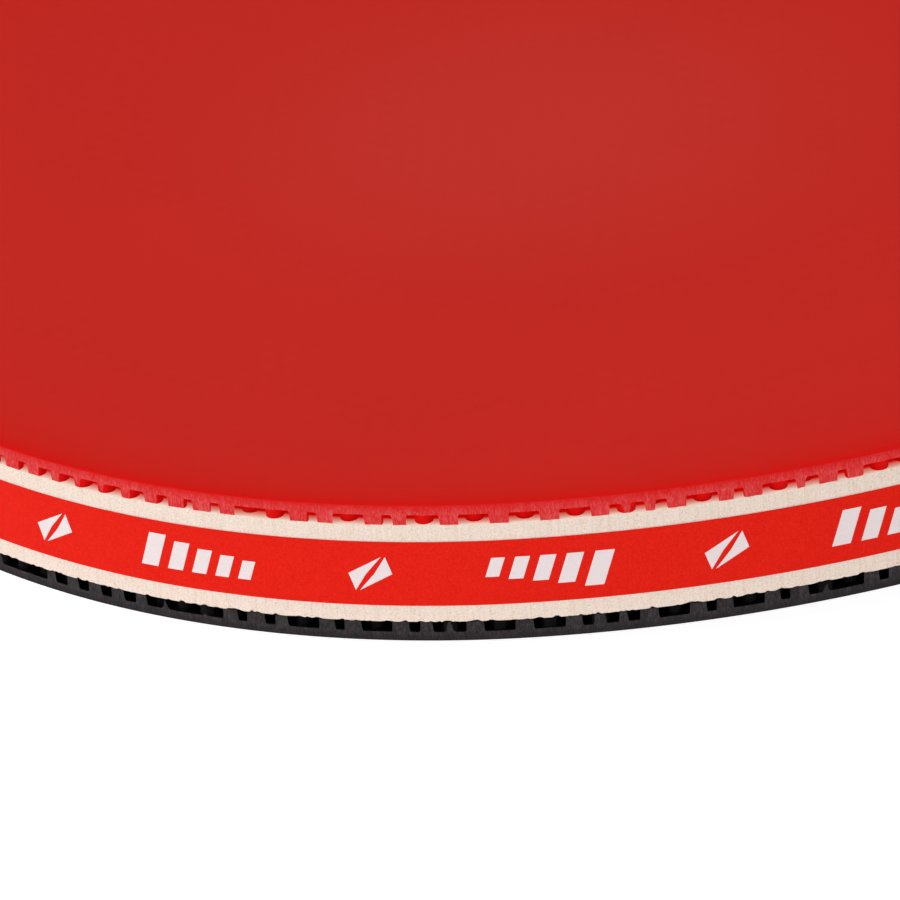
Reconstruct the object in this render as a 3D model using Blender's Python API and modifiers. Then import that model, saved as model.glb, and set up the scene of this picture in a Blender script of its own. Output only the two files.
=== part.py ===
"""Table tennis paddle: a five-ply flared-handle blade, a red and a black sponge rubber, an edge tape,
and a laminated grip glued on each side of the tang. Metres, +Z out of the red face, handle along +X."""

import math

import bmesh
import bpy

# Overall frame: the bounding box's centre is the origin, and the tip points along -X.
BLADE_LENGTH = 0.257
TAPE_GAP = 0.00005
TAPE_THICKNESS = 0.00008
TAPE_REACH = TAPE_GAP + TAPE_THICKNESS
TIP_X = -(BLADE_LENGTH - TAPE_REACH) / 2
BUTT_X = TIP_X + BLADE_LENGTH

# Head outline: a half circle at the tip, then a flatter flank, a cheek, and a concave neck.
HEAD_RADIUS = 0.075
FLANK_RADIUS = 0.099
FLANK_ARC = math.radians(24)
CHEEK_RADIUS = 0.070
NECK_RADIUS = 0.010

# Lengths measured from the tip along the handle.
RUBBER_LENGTH = 0.1535
TAPE_LENGTH = 0.1550
GRIP_FRONT = 0.1570

# Blade plies, from the outside to the core, and the glue line between any two layers.
BLADE_THICKNESS = 0.0060
OUTER_PLY = 0.0006
INNER_PLY = 0.0008
GLUE_LINE = 0.0001

# Rubbers: the whole thickness of each, and of its topsheet with the pips that stand on the sponge.
RED_RUBBER = 0.00362
RED_TOPSHEET = 0.00190
BLACK_RUBBER = 0.00400
BLACK_TOPSHEET = 0.00196

# The tape covers the blade's edge and sits a little low, towards the black side.
TAPE_WIDTH = 0.00639
TAPE_SHIFT = -0.00019

# Grip: half widths at the neck and the butt, half thickness, and the strips it is laminated from.
NECK_HALF_WIDTH = 0.0135
BUTT_HALF_WIDTH = 0.0170
FLARE_POWER = 2.2
GRIP_HALF_THICKNESS = 0.0115
GRIP_CROWN = 0.0004
GRIP_EDGE_RADIUS = 0.0065
GRIP_LIP = 0.0014
GRIP_RAMP = 0.0140
RAMP_POWER = 1.3
BUTT_ROUNDING = 0.0022
CENTRE_STRIP_HALF = 0.0058
VENEER_WIDTH = 0.0008

# Badge let into the centre strip on the red side.
BADGE_HALF_WIDTH = 0.0042
BADGE_HALF_LENGTH = 0.0080
BADGE_THICKNESS = 0.0010
BADGE_CLEARANCE = 0.0003
BADGE_FROM_BUTT = 0.0220
BADGE_SINK = 0.0003
BADGE_EDGE = 0.0003
BADGE_SIDES = 32

QUARTER_TURN = math.pi / 2


def clear_scene():
    for thing in list(bpy.data.objects):
        bpy.data.objects.remove(thing, do_unlink=True)


def new_collection(name):
    collection = bpy.data.collections.new(name)
    bpy.context.scene.collection.children.link(collection)
    return collection


def finish(name, colour, roughness, metallic=0.0):
    material = bpy.data.materials.new(name)
    material.use_nodes = True
    shader = material.node_tree.nodes["Principled BSDF"]
    shader.inputs["Base Color"].default_value = (*colour, 1.0)
    shader.inputs["Roughness"].default_value = roughness
    shader.inputs["Metallic"].default_value = metallic
    material.diffuse_color = (*colour, 1.0)
    return material


def add_object(collection, name, data, material=None):
    thing = bpy.data.objects.new(name, data)
    collection.objects.link(thing)
    if material:
        data.materials.append(material)
    return thing


def mesh_from(shape, name):
    mesh = bpy.data.meshes.new(name)
    shape.to_mesh(mesh)
    shape.free()
    return mesh


# ---- outline of the blade: half of it, on the +Y side, from the tip to the butt ----------------------


def arc(centre, radius, start, end, steps):
    """Points on an arc, without its end point."""
    angles = [start + (end - start) * step / steps for step in range(steps)]
    return [(centre[0] + radius * math.cos(a), centre[1] + radius * math.sin(a)) for a in angles]


def neck_arc():
    """Centre of the neck's concave arc, tangent to the cheek and the grip, and the angle where it starts."""
    flank_centre = (TIP_X + HEAD_RADIUS, HEAD_RADIUS - FLANK_RADIUS)
    reach = FLANK_RADIUS - CHEEK_RADIUS
    cheek_centre = (
        flank_centre[0] + reach * math.sin(FLANK_ARC),
        flank_centre[1] + reach * math.cos(FLANK_ARC),
    )
    across = NECK_HALF_WIDTH + NECK_RADIUS - cheek_centre[1]
    along = math.sqrt((CHEEK_RADIUS + NECK_RADIUS) ** 2 - across**2)
    neck_centre = (cheek_centre[0] + along, NECK_HALF_WIDTH + NECK_RADIUS)
    return flank_centre, cheek_centre, neck_centre, math.atan2(across, along)


FLANK_CENTRE, CHEEK_CENTRE, NECK_CENTRE, NECK_START = neck_arc()


def butt_rounding(x):
    """How far the rounded edge of the butt has drawn in at x."""
    past = min(BUTT_ROUNDING, max(0.0, x - (BUTT_X - BUTT_ROUNDING)))
    return BUTT_ROUNDING - math.sqrt(BUTT_ROUNDING**2 - past**2)


def half_width(x, offset=0.0):
    """Half the blade's width at x, anywhere from the neck's concave arc to the butt."""
    if x < NECK_CENTRE[0]:
        return NECK_CENTRE[1] - math.sqrt((NECK_RADIUS - offset) ** 2 - (x - NECK_CENTRE[0]) ** 2)
    along = (x - NECK_CENTRE[0]) / (BUTT_X - NECK_CENTRE[0])
    width = NECK_HALF_WIDTH + (BUTT_HALF_WIDTH - NECK_HALF_WIDTH) * along**FLARE_POWER
    return width + offset - butt_rounding(x)


def cheek_end(length, offset):
    """Angle on the cheek's arc that lies at the given length from the tip."""
    along = TIP_X + length - CHEEK_CENTRE[0]
    return math.acos(along / (CHEEK_RADIUS + offset))


def head_half(offset=0.0, end=None):
    """The head from the tip to angle end on the cheek, moved out by offset."""
    if end is None:
        end = NECK_START
    flank_end = QUARTER_TURN - FLANK_ARC
    points = arc((TIP_X + HEAD_RADIUS, 0.0), HEAD_RADIUS + offset, math.pi, QUARTER_TURN, 30)
    points += arc(FLANK_CENTRE, FLANK_RADIUS + offset, QUARTER_TURN, flank_end, 9)
    points += arc(CHEEK_CENTRE, CHEEK_RADIUS + offset, flank_end, end, 12)
    last = (CHEEK_RADIUS + offset) * math.cos(end), (CHEEK_RADIUS + offset) * math.sin(end)
    return points + [(CHEEK_CENTRE[0] + last[0], CHEEK_CENTRE[1] + last[1])]


def neck_half(end_x, offset=0.0, steps=6):
    """The neck's concave arc up to end_x, without its first point."""
    radius = NECK_RADIUS - offset
    start = math.pi + NECK_START
    end = math.pi + math.acos((NECK_CENTRE[0] - end_x) / radius)
    return arc(NECK_CENTRE, radius, start, end, steps)[1:] + [(end_x, half_width(end_x, offset))]


def both_sides(half):
    """A closed outline from one half, whose first point is on the centre line."""
    return half + [(x, -y) for x, y in reversed(half[1:])]


def rubber_outline():
    return both_sides(head_half(end=cheek_end(RUBBER_LENGTH, 0.0)))


def blade_outline():
    half = head_half() + neck_half(NECK_CENTRE[0])
    half += [(x, half_width(x)) for x in grip_stations() if x > NECK_CENTRE[0]]
    return both_sides(half)


def tape_outline():
    end_x = TIP_X + TAPE_LENGTH
    inside = head_half(TAPE_GAP) + neck_half(end_x, TAPE_GAP, steps=2)
    outside = head_half(TAPE_REACH) + neck_half(end_x, TAPE_REACH, steps=2)
    ring = [(x, -y) for x, y in reversed(outside[1:])] + outside
    return ring + list(reversed(inside)) + [(x, -y) for x, y in inside[1:]]


def flat_piece(collection, name, outline, low, high, material):
    """A sheet of the given outline, filled and extruded from z = low to z = high."""
    curve = bpy.data.curves.new(name, "CURVE")
    curve.dimensions = "2D"
    curve.fill_mode = "BOTH"
    curve.extrude = (high - low) / 2
    spline = curve.splines.new("POLY")
    spline.points.add(len(outline) - 1)
    for point, (x, y) in zip(spline.points, outline):
        point.co = (x, y, 0.0, 1.0)
    spline.use_cyclic_u = True
    sheet = add_object(collection, name, curve, material)
    sheet.location.z = (high + low) / 2
    return sheet


# ---- blade, rubbers and tape ----------------------------------------------------------------------


def make_plies(collection):
    outline = blade_outline()
    outer_wood = finish("outer_ply_wood", (0.74, 0.56, 0.36), 0.6)
    inner_wood = finish("inner_ply_wood", (0.62, 0.42, 0.24), 0.65)
    core_wood = finish("core_ply_wood", (0.80, 0.66, 0.46), 0.65)
    outside = BLADE_THICKNESS / 2
    outer_inside = outside - OUTER_PLY
    inner_outside = outer_inside - GLUE_LINE
    inner_inside = inner_outside - INNER_PLY
    core_half = inner_inside - GLUE_LINE
    flat_piece(collection, "outer_ply_red_side", outline, outer_inside, outside, outer_wood)
    flat_piece(collection, "inner_ply_red_side", outline, inner_inside, inner_outside, inner_wood)
    flat_piece(collection, "core_ply", outline, -core_half, core_half, core_wood)
    flat_piece(collection, "inner_ply_black_side", outline, -inner_outside, -inner_inside, inner_wood)
    flat_piece(collection, "outer_ply_black_side", outline, -outside, -outer_inside, outer_wood)


def make_rubber(collection, side, facing, thickness, topsheet, colour):
    """A topsheet on its sponge. facing is 1 on the +Z side of the blade and -1 on the other."""
    outline = rubber_outline()
    foam = finish(f"{side}_sponge_foam", (0.87, 0.76, 0.66), 0.9)
    rubber = finish(f"{side}_rubber", colour, 0.45)
    base = BLADE_THICKNESS / 2 + GLUE_LINE
    face = BLADE_THICKNESS / 2 + thickness
    bond = face - topsheet
    for layer, near, far, material in (
        ("sponge", base, bond - GLUE_LINE, foam),
        ("topsheet", bond, face, rubber),
    ):
        low, high = sorted((facing * near, facing * far))
        flat_piece(collection, f"{side}_{layer}", outline, low, high, material)


def make_tape(collection):
    film = finish("edge_tape_film", (0.72, 0.03, 0.02), 0.55)
    low = TAPE_SHIFT - TAPE_WIDTH / 2
    flat_piece(collection, "edge_tape", tape_outline(), low, low + TAPE_WIDTH, film)


# ---- grip -----------------------------------------------------------------------------------------


def grip_stations():
    """Places along the grip: close together on the thumb ramp and on the butt's rounding."""
    front = TIP_X + GRIP_FRONT
    start = front + GRIP_RAMP
    end = BUTT_X - BUTT_ROUNDING
    ramp = [front + GRIP_RAMP * step / 7 for step in range(7)]
    body = [start + (end - start) * step / 8 for step in range(8)]
    rounding = [end + BUTT_ROUNDING * math.sin(QUARTER_TURN * step / 4) for step in range(4)]
    return ramp + body + rounding + [BUTT_X]


def grip_height(x, y):
    """Height of the grip's surface above the blade's middle plane, at (x, y)."""
    along = min(1.0, (x - TIP_X - GRIP_FRONT) / GRIP_RAMP)
    base = BLADE_THICKNESS / 2
    rise = (GRIP_HALF_THICKNESS - base - GRIP_LIP) * math.sin(along * QUARTER_TURN) ** RAMP_POWER
    width = half_width(x)
    level = base + GRIP_LIP + rise - butt_rounding(x) - GRIP_CROWN * along * (y / width) ** 2
    radius = min(GRIP_EDGE_RADIUS, level - base - GRIP_LIP / 2)
    past = min(radius, max(0.0, abs(y) - (width - radius)))
    return level - (radius - math.sqrt(radius**2 - past**2))


def make_strip(collection, name, near, far, columns, facing, material):
    """One strip of the grip, between the half widths near(x) and far(x), from the blade to the surface."""
    stations = grip_stations()
    gaps = len(stations) - 1
    base = BLADE_THICKNESS / 2 + GLUE_LINE
    shape = bmesh.new()
    bmesh.ops.create_grid(shape, x_segments=gaps, y_segments=columns, size=0.5)
    for vert in shape.verts:
        x = stations[round((vert.co.x + 0.5) * gaps)]
        y = near(x) + (far(x) - near(x)) * (vert.co.y + 0.5)
        vert.co = (x, y, grip_height(x, y))
    extruded = bmesh.ops.extrude_face_region(shape, geom=list(shape.faces))["geom"]
    for vert in extruded:
        if isinstance(vert, bmesh.types.BMVert):
            vert.co.z = base
    bmesh.ops.scale(shape, vec=(1.0, 1.0, facing), verts=shape.verts)
    if shape.calc_volume(signed=True) < 0:
        bmesh.ops.reverse_faces(shape, faces=shape.faces)
    return add_object(collection, name, mesh_from(shape, name), material)


def straight(y):
    """A strip's edge that keeps the same distance from the centre line."""
    return lambda x: y


def make_grip(collection, side, facing):
    """Five strips: a centre strip, a thin veneer each side of it, and the two outer strips."""
    centre_wood = finish(f"{side}_grip_centre_wood", (0.42, 0.05, 0.04), 0.45)
    veneer_wood = finish(f"{side}_grip_veneer_wood", (0.80, 0.72, 0.58), 0.5)
    outer_wood = finish(f"{side}_grip_outer_wood", (0.50, 0.28, 0.13), 0.5)
    veneer_near = CENTRE_STRIP_HALF + GLUE_LINE
    veneer_far = veneer_near + VENEER_WIDTH
    outer_near = veneer_far + GLUE_LINE
    for hand, way in (("left", 1), ("right", -1)):
        near, far = straight(way * veneer_near), straight(way * veneer_far)
        make_strip(collection, f"grip_veneer_{hand}_{side}_side", near, far, 1, facing, veneer_wood)
        near, far = straight(way * outer_near), lambda x, way=way: way * half_width(x)
        make_strip(collection, f"grip_outer_{hand}_{side}_side", near, far, 7, facing, outer_wood)
    near, far = straight(-CENTRE_STRIP_HALF), straight(CENTRE_STRIP_HALF)
    return make_strip(collection, f"grip_centre_{side}_side", near, far, 4, facing, centre_wood)


def oval(name, half_length, half_across, low, high):
    """An upright oval disc, long along the handle."""
    shape = bmesh.new()
    bmesh.ops.create_cone(
        shape, cap_ends=True, segments=BADGE_SIDES, radius1=1.0, radius2=1.0, depth=high - low
    )
    bmesh.ops.scale(shape, vec=(half_length, half_across, 1.0), verts=shape.verts)
    bmesh.ops.translate(shape, vec=(0.0, 0.0, (high + low) / 2), verts=shape.verts)
    return mesh_from(shape, name)


def make_badge(collection, cutters, centre_strip):
    """An oval metal badge, sunk just under the surface of the strip that it is let into."""
    top = GRIP_HALF_THICKNESS - BADGE_SINK
    bottom = top - BADGE_THICKNESS
    badge_mesh = oval("handle_badge", BADGE_HALF_LENGTH, BADGE_HALF_WIDTH, bottom, top)
    metal = finish("badge_metal", (0.62, 0.60, 0.56), 0.3, metallic=1.0)
    badge = add_object(collection, "handle_badge", badge_mesh, metal)
    edge = badge.modifiers.new("edge", "BEVEL")
    edge.width = BADGE_EDGE
    edge.segments = 2
    pocket_mesh = oval(
        "badge_pocket",
        BADGE_HALF_LENGTH + BADGE_CLEARANCE,
        BADGE_HALF_WIDTH + BADGE_CLEARANCE,
        bottom - BADGE_CLEARANCE,
        GRIP_HALF_THICKNESS + BADGE_THICKNESS,
    )
    pocket = add_object(cutters, "badge_pocket", pocket_mesh)
    pocket.hide_render = True
    pocket.display_type = "WIRE"
    for piece in (badge, pocket):
        piece.location.x = BUTT_X - BADGE_FROM_BUTT
    cut = centre_strip.modifiers.new("badge pocket", "BOOLEAN")
    cut.operation = "DIFFERENCE"
    cut.object = pocket


def main():
    clear_scene()
    paddle = new_collection("table_tennis_paddle")
    cutters = new_collection("cutters")
    make_plies(paddle)
    make_rubber(paddle, "red", 1, RED_RUBBER, RED_TOPSHEET, (0.50, 0.02, 0.015))
    make_rubber(paddle, "black", -1, BLACK_RUBBER, BLACK_TOPSHEET, (0.025, 0.022, 0.024))
    make_tape(paddle)
    red_centre = make_grip(paddle, "red", 1)
    make_grip(paddle, "black", -1)
    make_badge(paddle, cutters, red_centre)


main()
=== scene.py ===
import math

import bmesh
import bpy
from mathutils import Matrix, Vector, noise


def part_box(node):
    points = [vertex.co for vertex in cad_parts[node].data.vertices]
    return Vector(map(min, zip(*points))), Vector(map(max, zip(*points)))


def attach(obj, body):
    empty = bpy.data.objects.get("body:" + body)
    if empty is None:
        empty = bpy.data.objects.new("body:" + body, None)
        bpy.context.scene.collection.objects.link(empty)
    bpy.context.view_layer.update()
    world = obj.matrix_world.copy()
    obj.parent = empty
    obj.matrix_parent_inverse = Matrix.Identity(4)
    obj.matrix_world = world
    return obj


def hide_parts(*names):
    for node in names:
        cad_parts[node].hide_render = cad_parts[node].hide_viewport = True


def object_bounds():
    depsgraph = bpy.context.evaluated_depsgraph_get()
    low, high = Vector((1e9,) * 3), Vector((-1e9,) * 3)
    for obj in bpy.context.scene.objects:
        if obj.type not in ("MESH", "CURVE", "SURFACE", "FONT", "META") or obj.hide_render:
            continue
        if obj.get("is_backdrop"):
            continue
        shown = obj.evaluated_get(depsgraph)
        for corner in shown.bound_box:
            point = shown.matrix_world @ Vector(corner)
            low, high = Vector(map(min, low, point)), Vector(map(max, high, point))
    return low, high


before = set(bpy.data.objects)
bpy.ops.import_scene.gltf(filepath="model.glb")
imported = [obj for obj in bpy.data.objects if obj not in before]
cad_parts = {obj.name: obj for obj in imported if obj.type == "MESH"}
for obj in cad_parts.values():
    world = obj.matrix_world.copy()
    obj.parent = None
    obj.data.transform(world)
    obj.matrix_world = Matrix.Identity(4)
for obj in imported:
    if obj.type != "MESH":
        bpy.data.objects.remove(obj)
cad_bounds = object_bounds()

# ---- Blade ---------------------------------------------------------------------------------------
# Five plies of wood, glued flat on one another and sawn to one outline: a round head, a flank that
# flattens towards the hand, a narrow neck, and a tang that runs to the butt between the grip's halves.
# The glue shows as thin amber lines between the plies.

QUARTER_TURN = math.pi / 2
CORE_LOW, CORE_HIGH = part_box("core_ply")
TIP_X = CORE_LOW.x
BUTT_X = CORE_HIGH.x
BLADE_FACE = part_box("outer_ply_red_side")[1].z
HEAD_RADIUS = CORE_HIGH.y
FLANK_RADIUS = 0.099
FLANK_ARC = math.radians(24)
CHEEK_RADIUS = 0.070
NECK_RADIUS = 0.010
NECK_HALF_WIDTH = 0.0135
BUTT_HALF_WIDTH = 0.0170
FLARE_POWER = 2.2
BUTT_ROUNDING = 0.0022
RIM_STEP = 0.00025
TANG_STEPS = 40
TANG_ROUNDING_STEPS = 8
MERGE_DISTANCE = 0.000001
SHARP_ANGLE = math.radians(38)

HEAD_CENTRE = (TIP_X + HEAD_RADIUS, 0.0)
FLANK_CENTRE = (HEAD_CENTRE[0], HEAD_RADIUS - FLANK_RADIUS)
CHEEK_CENTRE = (
    FLANK_CENTRE[0] + (FLANK_RADIUS - CHEEK_RADIUS) * math.sin(FLANK_ARC),
    FLANK_CENTRE[1] + (FLANK_RADIUS - CHEEK_RADIUS) * math.cos(FLANK_ARC),
)
NECK_ACROSS = NECK_HALF_WIDTH + NECK_RADIUS - CHEEK_CENTRE[1]
NECK_ALONG = math.sqrt((CHEEK_RADIUS + NECK_RADIUS) ** 2 - NECK_ACROSS**2)
NECK_CENTRE = (CHEEK_CENTRE[0] + NECK_ALONG, NECK_HALF_WIDTH + NECK_RADIUS)
NECK_START = math.atan2(NECK_ACROSS, NECK_ALONG)


class Strand:
    """One value on its way through a finish. Arithmetic on it adds the Math nodes."""

    def __init__(self, recipe, socket):
        self.recipe = recipe
        self.socket = socket

    def maths(self, operation, *values):
        return self.recipe.node("ShaderNodeMath", {"operation": operation}, dict(enumerate(values)))

    def __add__(self, other):
        return self.maths("ADD", self, other)

    def __sub__(self, other):
        return self.maths("SUBTRACT", self, other)

    def __rsub__(self, other):
        return self.maths("SUBTRACT", other, self)

    def __mul__(self, other):
        return self.maths("MULTIPLY", self, other)

    def __truediv__(self, other):
        return self.maths("DIVIDE", self, other)

    def __pow__(self, other):
        return self.maths("POWER", self, other)

    __radd__ = __add__
    __rmul__ = __mul__

    def cosine(self):
        return self.maths("COSINE", self)

    def exponential(self):
        return self.maths("EXPONENT", self)

    def between(self, low, high):
        """0 below low, 1 above high, and a smooth step from one to the other."""
        settings = {"interpolation_type": "SMOOTHSTEP"}
        return self.recipe.node("ShaderNodeMapRange", settings, {"Value": self, 1: low, 2: high})


class Recipe:
    """A finish: one Principled shader, and the nodes that feed it."""

    def __init__(self, name, colour, roughness, **uniform):
        self.material = bpy.data.materials.new(name)
        self.material.use_nodes = True
        self.tree = self.material.node_tree
        self.shader = self.tree.nodes["Principled BSDF"]
        self.shader.inputs["Base Color"].default_value = (*colour, 1.0)
        self.shader.inputs["Roughness"].default_value = roughness
        self.material.diffuse_color = (*colour, 1.0)
        for socket, value in uniform.items():
            self.shader.inputs[socket.replace("_", " ")].default_value = value

    def node(self, kind, settings=None, inputs=None, output=0):
        """A node of any kind: its settings come first, then the values or links of its sockets."""
        node = self.tree.nodes.new(kind)
        for key, value in (settings or {}).items():
            if key == "stops":
                ramp = node.color_ramp
                for place, colour in value[1:-1]:
                    ramp.elements.new(place).color = (*colour, 1.0)
                ramp.elements[0].position = value[0][0]
                ramp.elements[0].color = (*value[0][1], 1.0)
                ramp.elements[-1].position = value[-1][0]
                ramp.elements[-1].color = (*value[-1][1], 1.0)
            else:
                setattr(node, key, value)
        for socket, value in (inputs or {}).items():
            self.plug(node.inputs[socket], value)
        return Strand(self, node.outputs[output])

    def plug(self, socket, value):
        if isinstance(value, Strand):
            self.tree.links.new(value.socket, socket)
        elif socket.type == "RGBA":
            socket.default_value = (*value, 1.0)
        else:
            socket.default_value = value

    def place(self, stretch=(1.0, 1.0, 1.0), shift=(0.0, 0.0, 0.0), turn=0.0):
        """Object coordinates, shifted, turned about Z, and then stretched."""
        point = self.node("ShaderNodeTexCoord", output="Object")
        if any(shift):
            point = self.node("ShaderNodeVectorMath", {"operation": "SUBTRACT"}, {0: point, 1: shift})
        if turn:
            settings = {"rotation_type": "Z_AXIS"}
            point = self.node("ShaderNodeVectorRotate", settings, {"Vector": point, "Angle": turn})
        return self.node("ShaderNodeVectorMath", {"operation": "MULTIPLY"}, {0: point, 1: stretch})

    def along(self, axis, point):
        """One coordinate of a point."""
        return self.node("ShaderNodeSeparateXYZ", None, {0: point}, output=axis)

    def noise(self, point, detail=2.0, roughness=0.5, distortion=0.0):
        inputs = {"Vector": point, "Scale": 1.0, "Detail": detail}
        inputs.update({"Roughness": roughness, "Distortion": distortion})
        return self.node("ShaderNodeTexNoise", None, inputs)

    def blend(self, share, first, second, how="MIX"):
        """Two colours mixed; share 0 is the first and 1 the second."""
        settings = {"data_type": "RGBA", "blend_type": how}
        return self.node("ShaderNodeMix", settings, {0: share, 6: first, 7: second}, output=2)

    def paint(self, colour=None, roughness=None, relief=None, depth=0.0, strength=1.0, glow=0.0):
        """Plugs the colour, its glow, the roughness, and a relief of the given depth into the shader."""
        if colour is not None:
            self.plug(self.shader.inputs["Base Color"], colour)
        if glow:
            self.plug(self.shader.inputs["Emission Color"], colour)
            self.shader.inputs["Emission Strength"].default_value = glow
        if roughness is not None:
            self.plug(self.shader.inputs["Roughness"], roughness)
        if relief is not None:
            inputs = {"Height": relief, "Distance": depth, "Strength": strength}
            self.plug(self.shader.inputs["Normal"], self.node("ShaderNodeBump", None, inputs))
        return self.material


def wood(name, pale, mid, dark, fibre, pores=0.35, roughness=0.55, across=(1.0, 1.0)):
    """Wood whose grain runs along the handle. fibre is the width of one streak, in metres."""
    recipe = Recipe(name, mid, roughness, Specular_IOR_Level=0.35)
    wide = recipe.place((9.0, 90.0 * across[0], 90.0 * across[1]), shift=(0.31, 0.17, 0.05))
    figure = recipe.noise(wide, 3.0, 0.55, 0.6)
    streaks = recipe.noise(recipe.place((0.03 / fibre, 1 / fibre, 1 / fibre)), 3.0, 0.6, 0.2)
    dashes = recipe.noise(recipe.place((420.0, 5200.0, 5200.0)), 1.0, 0.5)
    stops = ((0.30, dark), (0.50, mid), (0.72, pale))
    tone = figure * 0.55 + streaks * 0.45
    colour = recipe.node("ShaderNodeValToRGB", {"stops": stops}, {"Fac": tone})
    pore = dashes.between(0.60, 0.72) * pores
    colour = recipe.blend(pore, colour, tuple(part * 0.55 for part in dark))
    dull = streaks * 0.18 + (roughness - 0.09)
    return recipe.paint(colour, dull, streaks * 0.6 - pore, depth=0.00006, strength=0.5)


OUTER_PLY_WOOD = wood(
    "limba_face_ply", (0.72, 0.52, 0.31), (0.62, 0.41, 0.22), (0.46, 0.27, 0.13), 0.0007
)
INNER_PLY_WOOD = wood(
    "ayous_inner_ply", (0.56, 0.34, 0.17), (0.45, 0.25, 0.12), (0.30, 0.15, 0.07), 0.0004
)
CORE_PLY_WOOD = wood(
    "kiri_core", (0.82, 0.68, 0.47), (0.74, 0.58, 0.37), (0.60, 0.43, 0.25), 0.0005
)
GLUE = Recipe("amber_glue", (0.28, 0.13, 0.05), 0.35)


def arc_on(shape, vert, centre, angle):
    """Sweeps a vertex round a centre, leaving an arc of edges, and returns where it ends."""
    pivot = Vector((*centre, vert.co.z))
    steps = max(2, math.ceil((vert.co - pivot).length * abs(angle) / RIM_STEP))
    swept = bmesh.ops.spin(
        shape, geom=[vert], cent=pivot, axis=(0.0, 0.0, 1.0), angle=angle, steps=steps
    )
    return [part for part in swept["geom_last"] if isinstance(part, bmesh.types.BMVert)][0]


def head_line(shape, offset, cheek_end):
    """Half of the head's outline, from the tip round the flank to an angle on the cheek."""
    tip = shape.verts.new((TIP_X - offset, 0.0, 0.0))
    widest = arc_on(shape, tip, HEAD_CENTRE, -QUARTER_TURN)
    cheek = arc_on(shape, widest, FLANK_CENTRE, -FLANK_ARC)
    return arc_on(shape, cheek, CHEEK_CENTRE, cheek_end - (QUARTER_TURN - FLANK_ARC))


def mirror_and_join(shape):
    """Adds the other half of an outline."""
    half = shape.verts[:] + shape.edges[:]
    bmesh.ops.mirror(
        shape, geom=half, matrix=Matrix.Identity(4), merge_dist=MERGE_DISTANCE, axis="Y"
    )


def fill_outline(shape):
    """Closes an outline across its open end and fills it."""
    ends = [vert for vert in shape.verts if len(vert.link_edges) == 1]
    if ends:
        shape.edges.new(ends)
    bmesh.ops.contextual_create(shape, geom=shape.edges[:])


def thicken(shape, low, high):
    """Makes a filled outline a slab between two heights, and returns its top face."""
    bmesh.ops.translate(shape, vec=(0.0, 0.0, low), verts=shape.verts)
    grown = bmesh.ops.extrude_face_region(shape, geom=shape.faces[:])["geom"]
    raised = [part for part in grown if isinstance(part, bmesh.types.BMVert)]
    bmesh.ops.translate(shape, vec=(0.0, 0.0, high - low), verts=raised)
    bmesh.ops.recalc_face_normals(shape, faces=shape.faces)
    return max(shape.faces, key=lambda face: face.calc_center_median().z)


def into_mesh(name, shape, *materials):
    """The finished mesh, smooth but for its sharp edges."""
    mesh = bpy.data.meshes.new(name)
    shape.to_mesh(mesh)
    shape.free()
    for material in materials:
        mesh.materials.append(material)
    mesh.shade_smooth()
    mesh.set_sharp_from_angle(angle=SHARP_ANGLE)
    return mesh


def fit(name, mesh, slot, *nodes):
    """Puts a finished piece on the paddle, in place of the solids that it stands for."""
    piece = bpy.data.objects.new(name, mesh)
    bpy.context.scene.collection.objects.link(piece)
    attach(piece, "root")
    if nodes:
        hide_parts(*nodes)
    return piece


def butt_draw(x):
    """How far the rounded edge of the butt has drawn in at x."""
    past = min(BUTT_ROUNDING, max(0.0, x - (BUTT_X - BUTT_ROUNDING)))
    return BUTT_ROUNDING - math.sqrt(BUTT_ROUNDING**2 - past**2)


def tang_half_width(x):
    """Half the width of the tang and the grip, from the neck to the butt."""
    if x < NECK_CENTRE[0]:
        return NECK_CENTRE[1] - math.sqrt(NECK_RADIUS**2 - (x - NECK_CENTRE[0]) ** 2)
    along = (x - NECK_CENTRE[0]) / (BUTT_X - NECK_CENTRE[0])
    flare = (BUTT_HALF_WIDTH - NECK_HALF_WIDTH) * along**FLARE_POWER
    return NECK_HALF_WIDTH + flare - butt_draw(x)


def tang_stations():
    """Places along the tang after the neck: even steps, then close ones on the butt's rounding."""
    start = NECK_CENTRE[0]
    end = BUTT_X - BUTT_ROUNDING
    body = [start + (end - start) * step / TANG_STEPS for step in range(1, TANG_STEPS + 1)]
    steps = TANG_ROUNDING_STEPS
    turns = [math.sin(QUARTER_TURN * step / steps) for step in range(1, steps + 1)]
    return body + [end + BUTT_ROUNDING * turn for turn in turns]


def blade_sheet(low, high):
    shape = bmesh.new()
    neck = head_line(shape, 0.0, NECK_START)
    last = arc_on(shape, neck, NECK_CENTRE, QUARTER_TURN - NECK_START)
    for x in tang_stations():
        last = bmesh.ops.extrude_vert_indiv(shape, verts=[last])["verts"][0]
        last.co = (x, tang_half_width(x), 0.0)
    mirror_and_join(shape)
    fill_outline(shape)
    thicken(shape, low, high)
    return shape


PLIES = (
    ("outer_ply_red_side", "face_veneer_red_side", "outer_ply_wood", OUTER_PLY_WOOD),
    ("inner_ply_red_side", "inner_veneer_red_side", "inner_ply_wood", INNER_PLY_WOOD),
    ("core_ply", "blade_core", "core_ply_wood", CORE_PLY_WOOD),
    ("inner_ply_black_side", "inner_veneer_black_side", "inner_ply_wood", INNER_PLY_WOOD),
    ("outer_ply_black_side", "face_veneer_black_side", "outer_ply_wood", OUTER_PLY_WOOD),
)
above = None
for node, name, slot, material in PLIES:
    low, high = (corner.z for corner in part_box(node))
    mesh = into_mesh(name, blade_sheet(low, high), material)
    fit(name, mesh, slot, node)
    if above is not None:
        seam = into_mesh(f"glue_under_{above[1]}", blade_sheet(high, above[0]), GLUE.material)
        fit(f"glue_under_{above[1]}", seam, slot)
    above = (low, name)

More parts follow.
